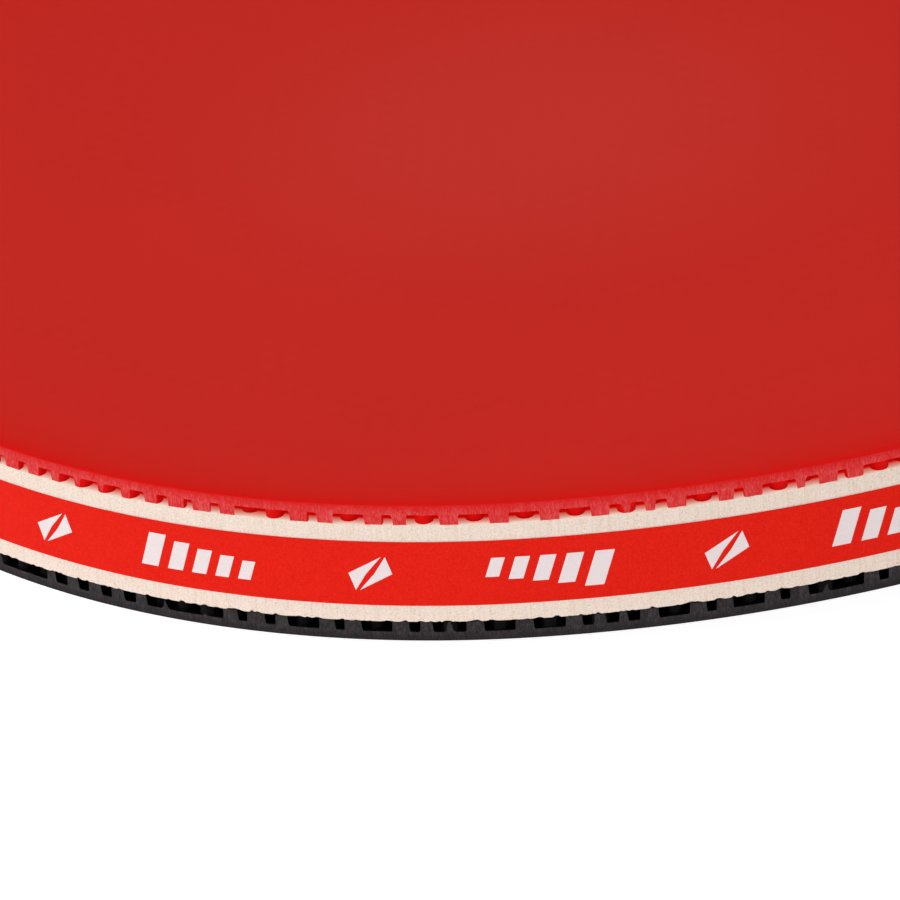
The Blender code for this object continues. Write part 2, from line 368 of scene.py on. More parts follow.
# ---- Sponges -------------------------------------------------------------------------------------
# A sheet of fine cream foam under each rubber, knife-cut flush with the head's edge. The cut shows
# pin-prick pores, upright knife marks, and slightly ragged corners. The foam's skin under the pips
# has painted shade, deeper further in from the edge, and under the red sheet a painted red glow.

RUBBER_END_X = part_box("red_sponge")[1].x
SPONGE_PALE = (0.815, 0.716, 0.640)
SPONGE_SHADE = (0.670, 0.530, 0.430)
SPONGE_PORE = (0.400, 0.230, 0.120)
SPONGE_RAGGED = 0.00034
RAG_LENGTH = 0.00070
TORN_WIDTH = 0.00018
GLUE_OVERLAP = 0.00003
SHADE_REACH = 0.00160
# Painted shade on the foam's skin under each sheet, by how far in from the edge it lies: cream at the
# edge, then deep red under the red sheet and near black under the black sheet. The red side's glow is
# painted light, for the light that comes through the red rubber.
PAINTED_SHADE_UNDER_RED = (
    (0.00, (0.540, 0.430, 0.360)), (0.20, (0.525, 0.380, 0.310)), (0.39, (0.520, 0.275, 0.215)),
    (0.50, (0.530, 0.190, 0.140)), (0.62, (0.555, 0.115, 0.080)), (0.74, (0.460, 0.010, 0.007)),
    (0.86, (0.430, 0.0012, 0.0008)),
)
PAINTED_GLOW_UNDER_RED = 0.8
PAINTED_SHADE_UNDER_BLACK = (
    (0.00, (0.500, 0.430, 0.370)), (0.12, (0.060, 0.050, 0.044)), (0.40, (0.008, 0.007, 0.0065)),
    (1.00, (0.005, 0.0045, 0.004)),
)


def sponge_foam():
    recipe = Recipe("cream_sponge", SPONGE_PALE, 0.95, Specular_IOR_Level=0.1)
    grain = recipe.noise(recipe.place((9500.0, 9500.0, 8500.0)), 1.0, 0.6)
    knife = recipe.noise(recipe.place((4200.0, 4200.0, 260.0)), 1.0, 0.5)
    cloudy = recipe.noise(recipe.place((260.0, 260.0, 260.0)), 2.0, 0.5)
    speckle = recipe.noise(recipe.place((7200.0, 7200.0, 7200.0), shift=(0.2, 0.1, 0.3)), 0.0)
    shade = grain.between(0.25, 0.75) * 0.75 + knife.between(0.45, 0.72) * 0.25
    colour = recipe.blend(shade + cloudy * 0.10, SPONGE_PALE, SPONGE_SHADE)
    colour = recipe.blend(speckle.between(0.68, 0.78) * 0.40, colour, SPONGE_PORE)
    relief = grain * 0.8 + knife * 0.5
    return recipe.paint(colour, None, relief, depth=0.00008, strength=0.45)


def depth_inside(recipe):
    """How far in from the rubber's edge a point of a finish lies."""
    point = recipe.place()
    x = recipe.along(0, point)
    y = recipe.along(1, point)
    y = y.maths("ABSOLUTE", y)

    def within(centre, radius):
        along, across = x - centre[0], y - centre[1]
        return radius - (along * along + across * across) ** 0.5

    tip = within(HEAD_CENTRE, HEAD_RADIUS)
    flank = within(FLANK_CENTRE, FLANK_RADIUS)
    cheek = within(CHEEK_CENTRE, CHEEK_RADIUS)
    past = (x - FLANK_CENTRE[0]) * math.cos(FLANK_ARC) - (y - FLANK_CENTRE[1]) * math.sin(FLANK_ARC)
    side = flank + (cheek - flank) * past.maths("GREATER_THAN", past, 0.0)
    edge = tip + (side - tip) * x.maths("GREATER_THAN", x, HEAD_CENTRE[0])
    return edge.maths("MINIMUM", edge, RUBBER_END_X - x)


def painted_shade_foam(name, painted_shade_tints, glow):
    """The foam's skin under the pips. Its tint is painted shade that deepens further in from the
    edge, and its glow is painted light, for the light that comes through the sheet above.
    """
    recipe = Recipe(name, painted_shade_tints[0][1], 0.95, Specular_IOR_Level=0.0)
    grain = recipe.noise(recipe.place((6000.0, 6000.0, 6000.0)), 2.0, 0.6)
    share = depth_inside(recipe) / SHADE_REACH + (grain - 0.5) * 0.12
    colour = recipe.node("ShaderNodeValToRGB", {"stops": painted_shade_tints}, {"Fac": share})
    return recipe.paint(colour, None, grain, depth=0.00005, strength=0.4, glow=glow)


SPONGE_FOAM = sponge_foam()


def rubber_outline(offset=0.0):
    """The rubber's outline: the head's, cut off square where the fingers start."""
    shape = bmesh.new()
    end = math.acos((RUBBER_END_X + offset - CHEEK_CENTRE[0]) / (CHEEK_RADIUS + offset))
    head_line(shape, offset, end)
    mirror_and_join(shape)
    fill_outline(shape)
    return shape


def facing_down(shape):
    """Turns a piece modelled for the red side over to the black side."""
    bmesh.ops.scale(shape, vec=(1.0, 1.0, -1.0), verts=shape.verts)
    bmesh.ops.reverse_faces(shape, faces=shape.faces)


def foam_sheet(low, high):
    """The sheet, with the painted-shade finish on the skin under the pips, and a slightly torn corner.
    """
    shape = rubber_outline()
    skin = thicken(shape, low, high)
    ring = bmesh.ops.inset_region(shape, faces=[skin], thickness=TORN_WIDTH)
    for face in [*ring["faces"], skin]:
        face.material_index = 1
    torn = {vert for face in ring["faces"] for vert in face.verts}
    corner = sorted(torn.difference(skin.verts), key=lambda vert: vert.index)
    for vert in corner:
        tear = noise.noise(vert.co / RAG_LENGTH) + 0.6 * noise.noise(vert.co * 3.0 / RAG_LENGTH)
        vert.co.z += SPONGE_RAGGED * min(0.0, tear)
    return shape


# Each side's foam gets painted shade under its pips, and the red side a painted glow as well.
for side, painted_shade_tints, glow in (("red", PAINTED_SHADE_UNDER_RED, PAINTED_GLOW_UNDER_RED), ("black", PAINTED_SHADE_UNDER_BLACK, 0.0)):
    far = sorted(abs(corner.z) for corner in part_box(f"{side}_topsheet"))[0]
    foam = foam_sheet(BLADE_FACE - GLUE_OVERLAP, far)
    if side == "black":
        facing_down(foam)
    skin = painted_shade_foam(f"foam_painted_shade_under_{side}_pips", painted_shade_tints, glow)
    mesh = into_mesh(f"{side}_side_sponge", foam, SPONGE_FOAM, skin)
    fit(f"{side}_side_sponge", mesh, "sponge_foam", f"{side}_sponge")

# ---- Topsheets -----------------------------------------------------------------------------------
# A moulded natural-rubber sheet on each side: a smooth 0.9 mm face with short pips under it, on a
# triangular grid, glued pips-inwards to the sponge. The knife that trims it to the blade also slices
# through every pip in its way, and leaves a paler, finely scored cut.

SHEET_THICKNESS = 0.00092
FACE_RELIEF = 0.00002
SHEET_EDGE = 0.00008
# How far in the painted glow near the face's edge reaches, and its long faint tail.
GLOW_REACH = 0.0016
GLOW_TAIL = 0.0100
GLOW_TAIL_SHARE = 0.35
# Painted sheen: how far from the head's centre the face's paler middle reaches.
SHEEN_CORE = 0.008
SHEEN_END = 0.042
PIP_SIDES = 16
PIP_ROOT_RADIUS = 0.00101
PIP_RADIUS = 0.00088
PIP_END_RADIUS = 0.00083
PIP_FILLET = 0.00018
PIP_FIELD = 0.0090
PIP_EMBED = 0.00003

# Each grid: its pitch, the place of one pip from the head's centre, and how far the grid is turned.
RED_GRID = (0.002545, (-0.003070, -0.063500), 0.0)
BLACK_GRID = (0.002520, (-0.001570, -0.063900), math.radians(-0.5))

# The face's own red; a paler painted sheen for its middle; and a painted glow, a more saturated red,
# near its edge.
RED_FACE = (0.565, 0.0200, 0.0130)
RED_PAINTED_SHEEN = (0.560, 0.0285, 0.0195)
RED_PAINTED_EDGE_GLOW = (0.675, 0.0030, 0.0012)
RED_CUT = (0.415, 0.0050, 0.0055)
RED_CUT_PALE = (0.505, 0.0850, 0.0850)
# The red cut's glow is painted light, for the light that spreads through the red rubber.
RED_CUT_PAINTED_GLOW = 0.45
RED_PIP = (0.430, 0.0008, 0.0006)
# The red pips' glow is painted light, for the light that comes through the sheet.
RED_PIP_PAINTED_GLOW = 0.50
# The black face's paler middle is a painted sheen too.
BLACK_PAINTED_SHEEN = (0.0260, 0.0230, 0.0240)
BLACK_FACE = (0.0200, 0.0170, 0.0180)
BLACK_CUT = (0.0150, 0.0124, 0.0134)
BLACK_CUT_PALE = (0.0640, 0.0560, 0.0590)
# The black pips' own black, made much darker than the face's as painted shade for the recess under the
# sheet.
BLACK_PIP_WITH_PAINTED_SHADE = (0.0030, 0.0026, 0.0028)


def topsheet_face(name, colour, painted_sheen, glow, grid, depth):
    """The playing face: paler towards the middle of the head, a painted sheen; a painted glow, a more
    saturated red, near the edge; and the pips just showing through, in the relief and as faint painted
    shade."""
    recipe = Recipe(name, colour, 0.5, Specular_IOR_Level=0.09)
    pitch, start, turn = grid
    turns = 2 * math.pi / pitch
    shift = (HEAD_CENTRE[0] + start[0], start[1], 0.0)
    point = recipe.place((turns / math.sqrt(3), turns, 1.0), shift, -turn)
    x = recipe.along(0, point)
    y = recipe.along(1, point)
    pips = ((x * 2.0).cosine() + (x + y).cosine() + (x - y).cosine()) / 3.0
    clouds = recipe.noise(recipe.place((55.0, 55.0, 55.0)), 3.0, 0.5)
    grain = recipe.noise(recipe.place((5200.0, 5200.0, 5200.0)), 2.0, 0.6)
    depth_in = depth_inside(recipe)
    # Painted glow: a more saturated red, strongest at the edge and fading inwards.
    close = (depth_in * (-1.0 / GLOW_REACH)).exponential() * (1.0 - GLOW_TAIL_SHARE)
    rim = close + (depth_in * (-1.0 / GLOW_TAIL)).exponential() * GLOW_TAIL_SHARE
    middle = recipe.place((1.0, 1.0, 0.0), (*HEAD_CENTRE, 0.0))
    off_centre = recipe.node("ShaderNodeVectorMath", {"operation": "LENGTH"}, {0: middle}, output=1)
    # Painted sheen: the middle of the face is paler.
    tint = recipe.blend(1.0 - off_centre.between(SHEEN_CORE, SHEEN_END), colour, painted_sheen)
    tint = recipe.blend(rim, tint, glow)
    # The pips pattern in the tone is faint painted shade of the print-through; the relief carries it
    # too.
    tone = pips * 0.010 + (clouds - 0.5) * 0.06 + (grain - 0.5) * 0.05 + 1.0
    colour = recipe.node("ShaderNodeVectorMath", {"operation": "SCALE"}, {0: tint, "Scale": tone})
    relief = pips * 0.10 + grain * 0.25
    return recipe.paint(colour, clouds * 0.10 + 0.45, relief, depth=depth, strength=0.35)


def cut_rubber(name, colour, pale, low, high, glow):
    """The knife's cut: broken upright score marks, fewest just under the playing face. glow is
    painted light, for the light that spreads through the rubber.
    """
    recipe = Recipe(name, colour, 0.6, Specular_IOR_Level=0.05)
    score = recipe.noise(recipe.place((9000.0, 9000.0, 2200.0)), 2.0, 0.65)
    long_score = recipe.noise(recipe.place((4200.0, 4200.0, 260.0)), 1.0, 0.5)
    tears = recipe.noise(recipe.place((1300.0, 1300.0, 900.0)), 3.0, 0.65)
    height = recipe.along(2, recipe.place())
    lower = 1.0 - height.between(low + (high - low) * 0.50, high)
    marks = score.between(0.42, 0.70) * 0.45 + long_score.between(0.45, 0.75) * 0.15
    share = (marks + tears.between(0.42, 0.75) * 0.30) * (lower * 0.65 + 0.30) + lower * 0.08
    colour = recipe.blend(share, colour, pale)
    return recipe.paint(colour, None, score + tears * 0.6, depth=0.00008, strength=0.5, glow=glow)


def moulded_rubber(name, colour, glow):
    """The pips' own surface. glow is painted light, for the light that comes through the thin sheet to
    them.
    """
    recipe = Recipe(name, colour, 0.45, Specular_IOR_Level=0.03)
    grain = recipe.noise(recipe.place((3600.0, 3600.0, 3600.0)), 2.0, 0.5)
    deep, pale = (tuple(part * share for part in colour) for share in (0.85, 1.12))
    tint = recipe.blend(grain, deep, pale)
    return recipe.paint(tint, None, grain, depth=0.00003, strength=0.4, glow=glow)


def rim_near(x, y):
    """How deep a point lies inside the head's outline, and the way out from it."""
    side = 1.0 if y >= 0 else -1.0
    y = abs(y)
    if x <= HEAD_CENTRE[0]:
        centre, radius = HEAD_CENTRE, HEAD_RADIUS
    elif math.atan2(x - FLANK_CENTRE[0], y - FLANK_CENTRE[1]) < FLANK_ARC:
        centre, radius = FLANK_CENTRE, FLANK_RADIUS
    else:
        centre, radius = CHEEK_CENTRE, CHEEK_RADIUS
    away = Vector((x - centre[0], y - centre[1], 0.0))
    out = away.normalized()
    return radius - away.length, Vector((out.x, side * out.y, 0.0))


def pip_places(grid):
    """Every pip of a grid that is in sight from the edge."""
    pitch, start, turn = grid
    column_gap = pitch * math.sqrt(3) / 2
    reach = math.ceil(0.17 / column_gap)
    for column in range(-reach, reach + 1):
        for row in range(-reach - 10, reach + 11):
            place = Vector((column * column_gap, (row + (column % 2) / 2) * pitch, 0.0))
            place.rotate(Matrix.Rotation(turn, 3, "Z"))
            place += Vector((HEAD_CENTRE[0] + start[0], start[1], 0.0))
            depth, out = rim_near(place.x, place.y)
            from_end = RUBBER_END_X - place.x
            if min(depth, from_end) > -PIP_ROOT_RADIUS and min(depth, from_end) < PIP_FIELD:
                yield place, depth, out, from_end


def pip_form(low, high):
    """One pip, standing on its end at low, with a fillet where it meets the sheet at high."""
    shape = bmesh.new()
    ring = bmesh.ops.create_circle(shape, segments=PIP_SIDES, radius=PIP_END_RADIUS, cap_ends=True)
    bmesh.ops.translate(shape, vec=(0.0, 0.0, low), verts=ring["verts"])
    face = ring["verts"][0].link_faces[0]
    knee = PIP_RADIUS + (PIP_ROOT_RADIUS - PIP_RADIUS) * 0.3
    rings = ((high - PIP_FILLET, PIP_RADIUS), (high - PIP_FILLET * 0.3, knee))
    for height, radius in (*rings, (high + PIP_EMBED, PIP_ROOT_RADIUS)):
        before = face.verts[0].co.z
        width = face.verts[0].co.xy.length
        grown = bmesh.ops.extrude_face_region(shape, geom=[face])["geom"]
        raised = [part for part in grown if isinstance(part, bmesh.types.BMVert)]
        bmesh.ops.translate(shape, vec=(0.0, 0.0, height - before), verts=raised)
        bmesh.ops.scale(shape, vec=(radius / width, radius / width, 1.0), verts=raised)
        bmesh.ops.delete(shape, geom=[face] if before > low else [], context="FACES_ONLY")
        face = [part for part in grown if isinstance(part, bmesh.types.BMFace)][0]
    bmesh.ops.recalc_face_normals(shape, faces=shape.faces)
    for face in shape.faces:
        face.material_index = 2
    return shape


def slice_off(shape, point, out):
    """Cuts away what lies beyond a plane and closes the cut with the cut finish."""
    everything = shape.verts[:] + shape.edges[:] + shape.faces[:]
    cut = bmesh.ops.bisect_plane(
        shape, geom=everything, plane_co=point, plane_no=out, clear_outer=True, dist=MERGE_DISTANCE
    )["geom_cut"]
    edges = [part for part in cut if isinstance(part, bmesh.types.BMEdge)]
    if edges:
        for face in bmesh.ops.contextual_create(shape, geom=edges)["faces"]:
            face.material_index = 1


def pip_field(shape, grid, low, high):
    """Adds the pips in sight, cut where the knife passed, and one block for those further in."""
    whole = pip_form(low, high)
    scratch = bpy.data.meshes.new("one pip")
    for place, depth, out, from_end in pip_places(grid):
        pip = whole.copy()
        bmesh.ops.translate(pip, vec=place, verts=pip.verts)
        if depth < PIP_ROOT_RADIUS:
            slice_off(pip, place + out * depth, out)
        if from_end < PIP_ROOT_RADIUS:
            slice_off(pip, Vector((RUBBER_END_X, 0.0, 0.0)), Vector((1.0, 0.0, 0.0)))
        bmesh.ops.recalc_face_normals(pip, faces=pip.faces)
        pip.to_mesh(scratch)
        pip.free()
        shape.from_mesh(scratch)
    whole.free()
    block = rubber_outline(-PIP_FIELD)
    thicken(block, low, high)
    for face in block.faces:
        face.material_index = 2
    block.to_mesh(scratch)
    block.free()
    shape.from_mesh(scratch)
    bpy.data.meshes.remove(scratch)


def topsheet(grid, low, high):
    """The sheet with its pips, all cut to the rubber's outline."""
    shape = rubber_outline()
    top = thicken(shape, high - SHEET_THICKNESS, high - SHEET_EDGE)
    for face in shape.faces:
        face.material_index = 0 if face is top else 2 if face.normal.z < -0.5 else 1
    bevelled = bmesh.ops.inset_region(shape, faces=[top], thickness=SHEET_EDGE, depth=SHEET_EDGE)
    for face in bevelled["faces"]:
        face.material_index = 0
    pip_field(shape, grid, low, high - SHEET_THICKNESS)
    return shape


TOPSHEETS = (
    (
        "red", RED_GRID, (RED_FACE, RED_PAINTED_SHEEN, RED_PAINTED_EDGE_GLOW), (RED_CUT, RED_CUT_PALE), RED_CUT_PAINTED_GLOW,
        RED_PIP, RED_PIP_PAINTED_GLOW,
    ),
    (
        "black", BLACK_GRID, (BLACK_FACE, BLACK_PAINTED_SHEEN, BLACK_FACE), (BLACK_CUT, BLACK_CUT_PALE), 0.0,
        BLACK_PIP_WITH_PAINTED_SHADE, 0.0,
    ),
)
for side, grid, face_tints, cut_tints, cut_painted_glow, pip_tint, pip_painted_glow in TOPSHEETS:
    low, high = sorted(abs(corner.z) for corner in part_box(f"{side}_topsheet"))
    sheet = topsheet(grid, low, high)
    away = 1.0
    if side == "black":
        facing_down(sheet)
        away = -1.0
    mesh = into_mesh(
        f"{side}_playing_sheet",
        sheet,
        topsheet_face(f"{side}_playing_face", *face_tints, grid, FACE_RELIEF),
        cut_rubber(f"{side}_cut_rubber", *cut_tints, away * low, away * high, cut_painted_glow),
        moulded_rubber(f"{side}_pips", pip_tint, pip_painted_glow),
    )
    fit(f"{side}_playing_sheet", mesh, f"{side}_rubber", f"{side}_topsheet")

# ---- Edge tape -----------------------------------------------------------------------------------
# A strip of red printed cloth-backed film, stuck round the blade's edge so that it just laps the
# sponges and presses into them. Its white print is a plain pattern: leaning bars, and a split diamond
# between the groups.

TAPE_LOW, TAPE_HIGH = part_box("edge_tape")
TAPE_PRESSED = 0.45
TAPE_OUT = (TAPE_HIGH.y - HEAD_RADIUS) * TAPE_PRESSED
TAPE_THICKNESS = TAPE_OUT + 0.00001
TAPE_MIDDLE = (TAPE_LOW.z + TAPE_HIGH.z) / 2
TAPE_END_X = TAPE_HIGH.x
TAPE_RED = (0.730, 0.0160, 0.0075)
TAPE_RED_DEEP = (0.540, 0.0060, 0.0015)
PRINT_PROUD = 0.00002
PRINT_DEPTH = 0.00006
PRINT_PITCH = 0.0314
DIAMOND_AT = 0.0187
DIAMOND_SIZE = (0.0036, 0.0034)
DIAMOND_LEAN = 0.75
DIAMOND_SPLIT = 0.05
BARS_AFTER = 0.0155
BAR_LEAN = 0.35
BAR_FOOT = 0.0015
PLAIN_END = 0.0040


def tape_film():
    recipe = Recipe("edge_tape_film", TAPE_RED, 0.68, Specular_IOR_Level=0.03)
    weave = recipe.noise(recipe.place((5200.0, 5200.0, 5200.0)), 3.0, 0.75)
    patches = recipe.noise(recipe.place((700.0, 700.0, 700.0)), 3.0, 0.6)
    share = weave.between(0.35, 0.65) * 0.45 + patches * 0.20
    colour = recipe.blend(share, TAPE_RED, TAPE_RED_DEEP)
    return recipe.paint(colour, patches * 0.1 + 0.63, weave, depth=0.00003, strength=0.5)


def tape_print():
    recipe = Recipe("white_tape_print", (0.74, 0.65, 0.65), 0.6, Specular_IOR_Level=0.1)
    weave = recipe.noise(recipe.place((5200.0, 5200.0, 5200.0)), 2.0, 0.7)
    colour = recipe.blend(weave, (0.76, 0.68, 0.68), (0.68, 0.59, 0.59))
    return recipe.paint(colour, None, weave, depth=0.00002, strength=0.3)


tape = bmesh.new()
tape_end = math.acos((TAPE_END_X - CHEEK_CENTRE[0]) / (CHEEK_RADIUS + TAPE_OUT))
head_line(tape, TAPE_OUT, max(tape_end, NECK_START))
mirror_and_join(tape)
bmesh.ops.translate(tape, vec=(0.0, 0.0, TAPE_LOW.z), verts=tape.verts)
wall = bmesh.ops.extrude_edge_only(tape, edges=tape.edges[:])["geom"]
raised = [part for part in wall if isinstance(part, bmesh.types.BMVert)]
bmesh.ops.translate(tape, vec=(0.0, 0.0, TAPE_HIGH.z - TAPE_LOW.z), verts=raised)
bmesh.ops.recalc_face_normals(tape, faces=tape.faces)
outward = tape.faces[:][0]
if outward.normal.dot(outward.calc_center_median() - Vector((*HEAD_CENTRE, 0.0))) < 0:
    bmesh.ops.reverse_faces(tape, faces=tape.faces)
bmesh.ops.solidify(tape, geom=tape.faces[:], thickness=TAPE_THICKNESS)
bmesh.ops.recalc_face_normals(tape, faces=tape.faces)
mesh = into_mesh("printed_edge_tape", tape, tape_film())
fit("printed_edge_tape", mesh, "edge_tape_film", "edge_tape")


def on_tape(along, up, out):
    """A place on the tape: along it from the head's widest point, on the left as the hand holds it."""
    side = -1.0
    half_turn = math.pi * HEAD_RADIUS
    if along < -half_turn / 2:
        along = -half_turn - along
        side = 1.0
    flank = FLANK_RADIUS * FLANK_ARC
    if along < 0:
        centre, radius, angle = HEAD_CENTRE, HEAD_RADIUS, along / HEAD_RADIUS
    elif along < flank:
        centre, radius, angle = FLANK_CENTRE, FLANK_RADIUS, along / FLANK_RADIUS
    else:
        centre, radius, angle = CHEEK_CENTRE, CHEEK_RADIUS, FLANK_ARC + (along - flank) / CHEEK_RADIUS
    x = centre[0] + (radius + out) * math.sin(angle)
    y = side * (centre[1] + (radius + out) * math.cos(angle))
    return Vector((x, y, TAPE_MIDDLE + up))


def print_shape(shape, width, height, lean, at, foot, half=0):
    """One printed bar, or with half set one half of a split diamond, bent round the tape."""
    if half:
        made = bmesh.ops.create_circle(shape, segments=4, radius=0.5, cap_ends=True)["verts"]
        corner = min(made, key=lambda vert: half * vert.co.x)
        corner.co.x = half * DIAMOND_SPLIT
    else:
        made = bmesh.ops.create_grid(shape, x_segments=1, y_segments=1, size=0.5)["verts"]
    face = made[0].link_faces[0]
    bmesh.ops.scale(shape, vec=(width, height, 1.0), verts=made)
    bmesh.ops.translate(shape, vec=(half * DIAMOND_SPLIT * width, 0.0, 0.0), verts=made)
    grown = bmesh.ops.extrude_face_region(shape, geom=[face], use_keep_orig=True)["geom"]
    inner = [part for part in grown if isinstance(part, bmesh.types.BMVert)]
    for vert in made + inner:
        across = vert.co.x + lean * vert.co.y
        out = TAPE_OUT + PRINT_PROUD - (PRINT_DEPTH if vert in inner else 0.0)
        vert.co = on_tape(at + across, foot + vert.co.y, out)


# Each bar: its place in the group, its width and its height.
BARS = (
    (-0.0047, 0.0017, 0.0034), (-0.0022, 0.0015, 0.0029), (0.0001, 0.0014, 0.0025),
    (0.0023, 0.0013, 0.0022), (0.0044, 0.0012, 0.0019),
)
marks = bmesh.new()
TAPE_SPAN = FLANK_RADIUS * FLANK_ARC + CHEEK_RADIUS * (QUARTER_TURN - FLANK_ARC - NECK_START)
mark = 0
while True:
    centre = DIAMOND_AT + PRINT_PITCH * (1 - mark)
    if centre < -math.pi * HEAD_RADIUS - TAPE_SPAN + PLAIN_END:
        break
    for half in (1, -1):
        print_shape(marks, *DIAMOND_SIZE, DIAMOND_LEAN, centre, 0.0, half)
    turned = 1.0 if mark % 2 else -1.0
    for place, width, height in BARS:
        foot = turned * (height / 2 - BAR_FOOT)
        print_shape(marks, width, height, BAR_LEAN, centre + BARS_AFTER + turned * place, foot)
    mark += 1
bmesh.ops.recalc_face_normals(marks, faces=marks.faces)
fit("tape_print", into_mesh("tape_print", marks, tape_print()), "edge_tape_film")

# ---- Grip ----------------------------------------------------------------------------------------
# Each half of the flared grip is five strips of wood glued edge to edge: a dark red centre strip, a
# pale veneer on each side of it, and two brown outer strips, rounded over and glued to the tang.

GRIP_FRONT_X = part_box("grip_centre_red_side")[0].x
GRIP_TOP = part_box("grip_centre_red_side")[1].z
GRIP_CROWN = 0.0004
GRIP_EDGE_RADIUS = 0.0065
GRIP_LIP = 0.0014
GRIP_RAMP = 0.0140
RAMP_POWER = 1.3
RAMP_STEPS = 24
GRIP_STEPS = 30
GRIP_ROUNDING_STEPS = 10
CENTRE_STRIP_HALF = 0.0058
VENEER_WIDTH = 0.00094
SEAM = 0.00003
GRIP_GLUE = 0.00002
CENTRE_COLUMNS = 6
VENEER_COLUMNS = 2
OUTER_COLUMNS = 18


def grip_height(x, y):
    """Height of the grip's surface above the blade's middle plane."""
    along = min(1.0, (x - GRIP_FRONT_X) / GRIP_RAMP)
    rise = (GRIP_TOP - BLADE_FACE - GRIP_LIP) * math.sin(max(0.0, along) * QUARTER_TURN) ** RAMP_POWER
    width = tang_half_width(x)
    level = BLADE_FACE + GRIP_LIP + rise - butt_draw(x) - GRIP_CROWN * along * (y / width) ** 2
    radius = min(GRIP_EDGE_RADIUS, level - BLADE_FACE - GRIP_LIP / 2)
    past = min(radius, max(0.0, abs(y) - (width - radius)))
    return level - (radius - math.sqrt(radius**2 - past**2))


def grip_stations():
    start = GRIP_FRONT_X + GRIP_RAMP
    end = BUTT_X - BUTT_ROUNDING
    ramp = [GRIP_FRONT_X + GRIP_RAMP * step / RAMP_STEPS for step in range(RAMP_STEPS)]
    body = [start + (end - start) * step / GRIP_STEPS for step in range(GRIP_STEPS)]
    steps = GRIP_ROUNDING_STEPS
    rounding = [end + BUTT_ROUNDING * math.sin(QUARTER_TURN * step / steps) for step in range(steps)]
    return ramp + body + rounding + [BUTT_X]


def grip_strip(near, far, columns, facing):
    """One strip between two edges, each given as a function of x."""
    stations = grip_stations()
    gaps = len(stations) - 1
    shape = bmesh.new()
    bmesh.ops.create_grid(shape, x_segments=gaps, y_segments=columns, size=0.5)
    for vert in shape.verts:
        x = stations[round((vert.co.x + 0.5) * gaps)]
        share = vert.co.y + 0.5
        if columns == OUTER_COLUMNS:
            share = math.sin(share * QUARTER_TURN)
        y = near(x) + (far(x) - near(x)) * share
        vert.co = (x, y, grip_height(x, y))
    grown = bmesh.ops.extrude_face_region(shape, geom=shape.faces[:])["geom"]
    for vert in grown:
        if isinstance(vert, bmesh.types.BMVert):
            vert.co.z = BLADE_FACE + GRIP_GLUE
    bmesh.ops.scale(shape, vec=(1.0, 1.0, facing), verts=shape.verts)
    if shape.calc_volume(signed=True) < 0:
        bmesh.ops.reverse_faces(shape, faces=shape.faces)
    return shape


def straight(y):
    return lambda x: y


GRIP_CENTRE_WOOD = wood(
    "dyed_red_centre_strip", (0.30, 0.035, 0.028), (0.22, 0.022, 0.018), (0.13, 0.012, 0.010), 0.0005,
    roughness=0.42,
)
GRIP_VENEER_WOOD = wood(
    "pale_veneer", (0.86, 0.76, 0.60), (0.80, 0.69, 0.52), (0.68, 0.55, 0.38), 0.0003, roughness=0.48
)
GRIP_OUTER_WOOD = wood(
    "walnut_grip", (0.42, 0.23, 0.11), (0.33, 0.17, 0.075), (0.20, 0.095, 0.040), 0.0006, roughness=0.46
)
veneer_near = CENTRE_STRIP_HALF + SEAM
veneer_far = veneer_near + VENEER_WIDTH
outer_near = veneer_far + SEAM
for side, facing in (("red", 1.0), ("black", -1.0)):
    for hand, way in (("left", 1.0), ("right", -1.0)):
        node = f"grip_veneer_{hand}_{side}_side"
        near_edge = straight(way * veneer_near)
        strip = grip_strip(near_edge, straight(way * veneer_far), VENEER_COLUMNS, facing)
        fit(f"pale_{node}", into_mesh(node, strip, GRIP_VENEER_WOOD), "grip_veneer_wood", node)
        node = f"grip_outer_{hand}_{side}_side"
        near_edge = straight(way * outer_near)
        flared = lambda x, way=way: way * tang_half_width(x)
        strip = grip_strip(near_edge, flared, OUTER_COLUMNS, facing)
        fit(f"walnut_{node}", into_mesh(node, strip, GRIP_OUTER_WOOD), "grip_outer_wood", node)

# ---- Badge ---------------------------------------------------------------------------------------
# An oval of brushed white metal with a raised border and a plain ball in relief, pressed into a
# shallow pocket in the red side's centre strip.

BADGE_LOW, BADGE_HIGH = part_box("handle_badge")
BADGE_MIDDLE = (BADGE_LOW + BADGE_HIGH) / 2
BADGE_HALF_LENGTH = (BADGE_HIGH.x - BADGE_LOW.x) / 2
BADGE_HALF_WIDTH = (BADGE_HIGH.y - BADGE_LOW.y) / 2
BADGE_SIDES = 96
BADGE_BEVEL = 0.00012
BORDER_WIDTH = 0.00045
BORDER_STEP = 0.00012
BORDER_DEPTH = 0.00016
BALL_RADIUS = 0.0017
BALL_FLATTENING = 0.16
BALL_SINK = 0.00018
POCKET_DEPTH = 0.0002
POCKET_RISE = 0.001
POCKET_GAP = 0.00012


def oval(half_length, half_width, low, high):
    """An upright oval disc under the badge's centre."""
    shape = bmesh.new()
    bmesh.ops.create_circle(shape, segments=BADGE_SIDES, radius=1.0, cap_ends=True)
    bmesh.ops.scale(shape, vec=(half_length, half_width, 1.0), verts=shape.verts)
    bmesh.ops.translate(shape, vec=(BADGE_MIDDLE.x, BADGE_MIDDLE.y, 0.0), verts=shape.verts)
    return shape, thicken(shape, low, high)


def badge_metal():
    recipe = Recipe("brushed_badge_metal", (0.46, 0.44, 0.41), 0.4, Metallic=1.0)
    brushed = recipe.noise(recipe.place((300.0, 9000.0, 9000.0)), 2.0, 0.6)
    colour = recipe.blend(brushed, (0.40, 0.385, 0.36), (0.53, 0.51, 0.48))
    return recipe.paint(colour, brushed * 0.2 + 0.34, brushed, depth=0.00001, strength=0.4)


